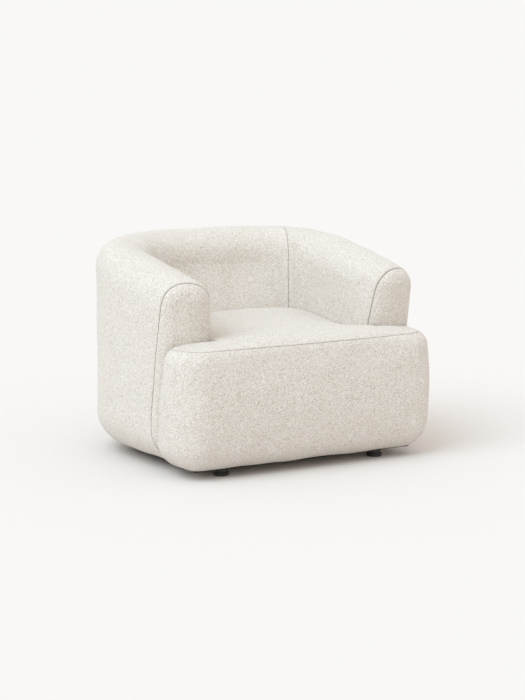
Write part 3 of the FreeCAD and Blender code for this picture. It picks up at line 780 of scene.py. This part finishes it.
def new_material(name):
    material = bpy.data.materials.new(name)
    material.use_nodes = True
    nodes = material.node_tree.nodes
    links = material.node_tree.links
    shader = next(n for n in nodes if n.type == "BSDF_PRINCIPLED")
    return material, nodes, links, shader


def ramp(nodes, links, source, stops):
    made = nodes.new("ShaderNodeValToRGB")
    while len(made.color_ramp.elements) < len(stops):
        made.color_ramp.elements.new(0.5)
    for element, (place, colour) in zip(made.color_ramp.elements, stops):
        element.position = place
        element.color = colour + (1.0,)
    links.new(source, made.inputs["Fac"])
    return made.outputs["Color"]


def texture(nodes, kind, source, links, **values):
    made = nodes.new(kind)
    for key, value in values.items():
        made.inputs[key].default_value = value
    links.new(source, made.inputs["Vector"])
    return made


def boucle():
    # looped cream yarn with paler and tan threads, about three millimetres a loop, with
    # painted shade in the crevices between loops, and darker wherever the mesh's seam attribute
    # says: seam thread plus painted shade of the seam's groove
    material, nodes, links, shader = new_material("cream_boucle")
    place = nodes.new("ShaderNodeTexCoord").outputs["Object"]
    warp = texture(nodes, "ShaderNodeTexNoise", place, links, Scale=160.0, Detail=2.0)
    bend = nodes.new("ShaderNodeVectorMath")
    bend.operation = "MULTIPLY_ADD"
    bend.inputs[1].default_value = (0.005, 0.005, 0.005)
    links.new(warp.outputs["Color"], bend.inputs[0])
    links.new(place, bend.inputs[2])
    warped = bend.outputs["Vector"]
    upright = nodes.new("ShaderNodeMapping")
    upright.inputs["Scale"].default_value = (1.0, 1.0, 0.5)
    links.new(warped, upright.inputs["Vector"])
    loops = texture(nodes, "ShaderNodeTexVoronoi", warped, links, Scale=340.0)
    fibre = texture(nodes, "ShaderNodeTexNoise", place, links, Scale=900.0, Detail=3.0)
    drawn_out = upright.outputs["Vector"]
    threads = texture(nodes, "ShaderNodeTexNoise", drawn_out, links, Scale=430.0, Detail=2.0)
    heather = texture(nodes, "ShaderNodeTexNoise", place, links, Scale=60.0, Detail=5.0, Roughness=0.75)
    height = nodes.new("ShaderNodeMath")
    height.operation = "MULTIPLY_ADD"
    height.inputs[1].default_value = -1.1
    links.new(loops.outputs["Distance"], height.inputs[0])
    links.new(fibre.outputs["Fac"], height.inputs[2])
    thread_colour = ramp(nodes, links, threads.outputs["Fac"], [
        (0.36, (0.66, 0.575, 0.49)),
        (0.50, (0.86, 0.805, 0.75)),
        (0.64, (0.95, 0.92, 0.885)),
    ])
    # painted shade: darker towards the edge of each loop, where the crevices between loops fall in shadow
    painted_crevice_shade = ramp(nodes, links, loops.outputs["Distance"], [
        (0.20, (1.0, 1.0, 1.0)),
        (0.80, (0.78, 0.755, 0.72)),
    ])
    heather_shade = ramp(nodes, links, heather.outputs["Fac"], [
        (0.35, (0.93, 0.915, 0.89)),
        (0.60, (1.0, 1.0, 1.0)),
    ])
    colour = thread_colour
    for shade in (painted_crevice_shade, heather_shade):
        mix = nodes.new("ShaderNodeMix")
        mix.data_type = "RGBA"
        mix.blend_type = "MULTIPLY"
        mix.inputs["Factor"].default_value = 1.0
        links.new(colour, mix.inputs["A"])
        links.new(shade, mix.inputs["B"])
        colour = mix.outputs["Result"]
    # mixes in the seam colour: thread tan plus painted shade where the groove falls dark
    seam = nodes.new("ShaderNodeAttribute")
    seam.attribute_name = "seam"
    thread_and_painted_shade = nodes.new("ShaderNodeMix")
    thread_and_painted_shade.data_type = "RGBA"
    links.new(seam.outputs["Fac"], thread_and_painted_shade.inputs["Factor"])
    links.new(colour, thread_and_painted_shade.inputs["A"])
    thread_and_painted_shade.inputs["B"].default_value = SEAM_THREAD_AND_SHADE_COLOUR
    links.new(thread_and_painted_shade.outputs["Result"], shader.inputs["Base Color"])
    bump = nodes.new("ShaderNodeBump")
    bump.inputs["Strength"].default_value = 0.8
    bump.inputs["Distance"].default_value = 0.0014
    links.new(height.outputs[0], bump.inputs["Height"])
    links.new(bump.outputs["Normal"], shader.inputs["Normal"])
    shader.inputs["Roughness"].default_value = 0.95
    shader.inputs["Specular IOR Level"].default_value = 0.15
    shader.inputs["Sheen Weight"].default_value = 0.2
    shader.inputs["Sheen Roughness"].default_value = 0.6
    return material


def grained(name, dark, light, scale, roughness, bump_distance, stretch=(1, 1, 1), metallic=0.0):
    # two colours in a noise, with a fine bump; stretch over 1 narrows the grain
    material, nodes, links, shader = new_material(name)
    place = nodes.new("ShaderNodeTexCoord")
    stretched = nodes.new("ShaderNodeMapping")
    stretched.inputs["Scale"].default_value = stretch
    links.new(place.outputs["Object"], stretched.inputs["Vector"])
    grain = nodes.new("ShaderNodeTexNoise")
    grain.inputs["Scale"].default_value = scale
    grain.inputs["Detail"].default_value = 5.0
    links.new(stretched.outputs["Vector"], grain.inputs["Vector"])
    colour = ramp(nodes, links, grain.outputs["Fac"], [(0.35, dark), (0.65, light)])
    links.new(colour, shader.inputs["Base Color"])
    bump = nodes.new("ShaderNodeBump")
    bump.inputs["Strength"].default_value = 0.5
    bump.inputs["Distance"].default_value = bump_distance
    links.new(grain.outputs["Fac"], bump.inputs["Height"])
    links.new(bump.outputs["Normal"], shader.inputs["Normal"])
    shader.inputs["Roughness"].default_value = roughness
    shader.inputs["Metallic"].default_value = metallic
    return material


BOUCLE = boucle()
UPRIGHT = (1, 1, 8)                 # stretches of the grain
UPRIGHT_PLIES = (1, 1, 12)
LONGWAYS = (1, 10, 10)
PLAIN = (1, 1, 1)
CAD_MATERIALS = {
    "boucle": BOUCLE,
    "dust_cloth": grained("black_non_woven", (0.008, 0.008, 0.008), (0.02, 0.02, 0.02), 700, 0.95, 0.0003),
    "foam": grained("open_cell_foam", (0.75, 0.70, 0.50), (0.90, 0.86, 0.68), 500, 0.95, 0.0005),
    "wadding": grained("polyester_wadding", (0.80, 0.80, 0.79), (0.93, 0.93, 0.92), 200, 0.95, 0.001),
    "felt": grained("needled_felt", (0.25, 0.25, 0.26), (0.45, 0.45, 0.44), 400, 0.95, 0.0006),
    "webbing": grained(
        "elastic_webbing", (0.05, 0.05, 0.06), (0.12, 0.12, 0.13), 300, 0.85, 0.0004, UPRIGHT,
    ),
    "spring_steel": grained(
        "spring_wire", (0.10, 0.10, 0.11), (0.22, 0.22, 0.23), 300, 0.35, 0.0001, PLAIN, metallic=1.0,
    ),
    "screw_steel": grained(
        "zinc_plate", (0.50, 0.50, 0.48), (0.68, 0.68, 0.66), 400, 0.35, 0.0001, PLAIN, metallic=1.0,
    ),
    "foot_plastic": grained("black_plastic", (0.01, 0.01, 0.01), (0.022, 0.022, 0.022), 900, 0.5, 0.0001),
    "fibreboard": grained("hardboard", (0.22, 0.13, 0.07), (0.33, 0.21, 0.12), 300, 0.8, 0.0003),
    "plywood": grained(
        "birch_ply", (0.52, 0.36, 0.20), (0.72, 0.55, 0.36), 40, 0.6, 0.0003, UPRIGHT_PLIES,
    ),
    "timber": grained("planed_pine", (0.50, 0.31, 0.15), (0.72, 0.52, 0.30), 30, 0.6, 0.0004, LONGWAYS),
}
# the base panel's edge can be glimpsed where the block meets the arms; it is made near black, as painted
# shade, so that the notch reads as shadow
PAINTED_SHADE_PLY = grained("painted_shade_ply", (0.01, 0.01, 0.01), (0.025, 0.025, 0.025), 40, 0.8, 0.0003)

# ------------------------------------------------------------------ build


def give(made, material):
    made.data.materials.clear()
    made.data.materials.append(material)


def cover(made, nodes):
    # a finished piece of the upholstery, and the plain solids it stands for
    give(made, BOUCLE)
    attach(made, "root")
    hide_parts(*nodes)


slots = {row["node"]: row["material_slot"] for row in frame["record"]["subparts"]}
for node, made in frame["nodes"].items():
    give(made, CAD_MATERIALS[slots[node]])
# near-black ply on the base panel: painted shade in the notch under the arms
give(frame["nodes"]["base_panel"], PAINTED_SHADE_PLY)

seat_top, seat_front = seat_panels()
left = shell_panel("side_panel_left", 0.0, CORNER_RUN, 11)
right = shell_panel("side_panel_right", TOTAL_RUN - CORNER_RUN, TOTAL_RUN, 12)
back = shell_panel("back_panel", CORNER_RUN, TOTAL_RUN - CORNER_RUN, 13)
caps = {word: cap_panel("arm_cap_" + word, side, 20 + side) for side, word in ((1, "left"), (-1, "right"))}

shell_seams = shell_points([0.0, CORNER_RUN, TOTAL_RUN - CORNER_RUN, TOTAL_RUN])
shell_rest, shell_travel = swell(shell_body(), shell_seams.reshape(-1, 3))
for piece in (left, right, back, caps["left"], caps["right"]):
    follow(piece, shell_rest, shell_travel)
seat_points = coords(seat_top.data)
seat_seam = seat_points[np.abs(seat_points[:, 2] - SEAM_HEIGHT) < SIM_SEAM_BAND]
seat_rest, seat_travel = swell(seat_body(), seat_seam)
for piece in (seat_top, seat_front):
    follow(piece, seat_rest, seat_travel)

cover(seat_top, ["seat_top_cover", "seat_topper", "seat_foam_core"])
cover(seat_front, ["seat_front_cover", "front_foam"])

side_nodes = ("side_cover_", "side_wadding_", "arm_roll_foam_", "arm_pad_foam_")
cover(left, [n + "left" for n in side_nodes])
cover(right, [n + "right" for n in side_nodes])
cover(back, ["back_cover", "back_wadding", "back_roll_foam", "back_pad_foam"])
for word, cap in caps.items():
    cover(cap, ["arm_cap_cover_" + word, "arm_front_foam_" + word])

# ------------------------------------------------------------------ stage, light, camera
BACKDROP = (0.947, 0.938, 0.922)    # light from all round, which the camera also sees
KEY = (0.68, 0.865, 1.0)            # a broad soft light from the chair's right
KEY_POWER = 1.68
KEY_SPREAD = 46.0
KEY_AZIMUTH = 76.0                  # degrees from the front towards -X
KEY_ELEVATION = 46.0

TOP = (0.90, 0.95, 1.0)             # a weaker one from above
TOP_POWER = 0.20
TOP_SPREAD = 60.0
TOP_AZIMUTH = 60.0
TOP_ELEVATION = 72.0
FLOOR_REACH = 90
LIGHT_DISTANCE = 4


def sunlight(name, colour, power, spread, azimuth, elevation):
    # returns the light's share of a pale floor's brightness
    turn = math.radians(azimuth)
    rise = math.radians(elevation)
    source = Vector((-math.sin(turn) * math.cos(rise), -math.cos(turn) * math.cos(rise), math.sin(rise)))
    data = bpy.data.lights.new(name, "SUN")
    data.energy = power
    data.color = colour
    data.angle = math.radians(spread)
    made = bpy.data.objects.new(name, data)
    made.location = source * LIGHT_DISTANCE
    made.rotation_mode = "QUATERNION"
    made.rotation_quaternion = source.to_track_quat("Z", "Y")
    bpy.context.scene.collection.objects.link(made)
    return [power * math.sin(rise) / math.pi * c for c in colour]


key_share = sunlight("key", KEY, KEY_POWER, KEY_SPREAD, KEY_AZIMUTH, KEY_ELEVATION)
top_share = sunlight("top", TOP, TOP_POWER, TOP_SPREAD, TOP_AZIMUTH, TOP_ELEVATION)
# the floor's colour, lit, is that of the backdrop, so that no horizon shows
floor_colour = [b / (b + k + t) for b, k, t in zip(BACKDROP, key_share, top_share)]
corners = [(x * FLOOR_REACH, y * FLOOR_REACH, 0) for x, y in ((-1, -1), (1, -1), (1, 1), (-1, 1))]
floor = mesh_object("floor", corners, [(0, 1, 2, 3)])
floor_material, _, _, floor_shader = new_material("pale_floor")
floor_shader.inputs["Base Color"].default_value = tuple(floor_colour) + (1,)
floor_shader.inputs["Roughness"].default_value = 1.0
floor_shader.inputs["Specular IOR Level"].default_value = 0.0
give(floor, floor_material)

world = bpy.data.worlds.new("studio")
world.use_nodes = True
world.node_tree.nodes["Background"].inputs["Color"].default_value = BACKDROP + (1,)
world.node_tree.nodes["Background"].inputs["Strength"].default_value = 1.0
bpy.context.scene.world = world

CAMERA_AZIMUTH = -31.0
CAMERA_ELEVATION = 8.85
CAMERA_DISTANCE = 7.0
CAMERA_TARGET = Vector((0.063, 0.0, 0.328))
CAMERA_LENS = 106.56
CAMERA_SENSOR = 36.0
azimuth = math.radians(CAMERA_AZIMUTH)
elevation = math.radians(CAMERA_ELEVATION)
away = Vector((
    math.sin(azimuth) * math.cos(elevation),
    -math.cos(azimuth) * math.cos(elevation),
    math.sin(elevation),
))
camera_data = bpy.data.cameras.new("camera")
camera_data.sensor_width = CAMERA_SENSOR
camera_data.lens = CAMERA_LENS
camera = bpy.data.objects.new("camera", camera_data)
camera.location = CAMERA_TARGET + away * CAMERA_DISTANCE
camera.rotation_mode = "QUATERNION"
camera.rotation_quaternion = (-away).to_track_quat("-Z", "Y")
bpy.context.scene.collection.objects.link(camera)
bpy.context.scene.camera = camera
bpy.context.scene.view_settings.view_transform = "Standard"
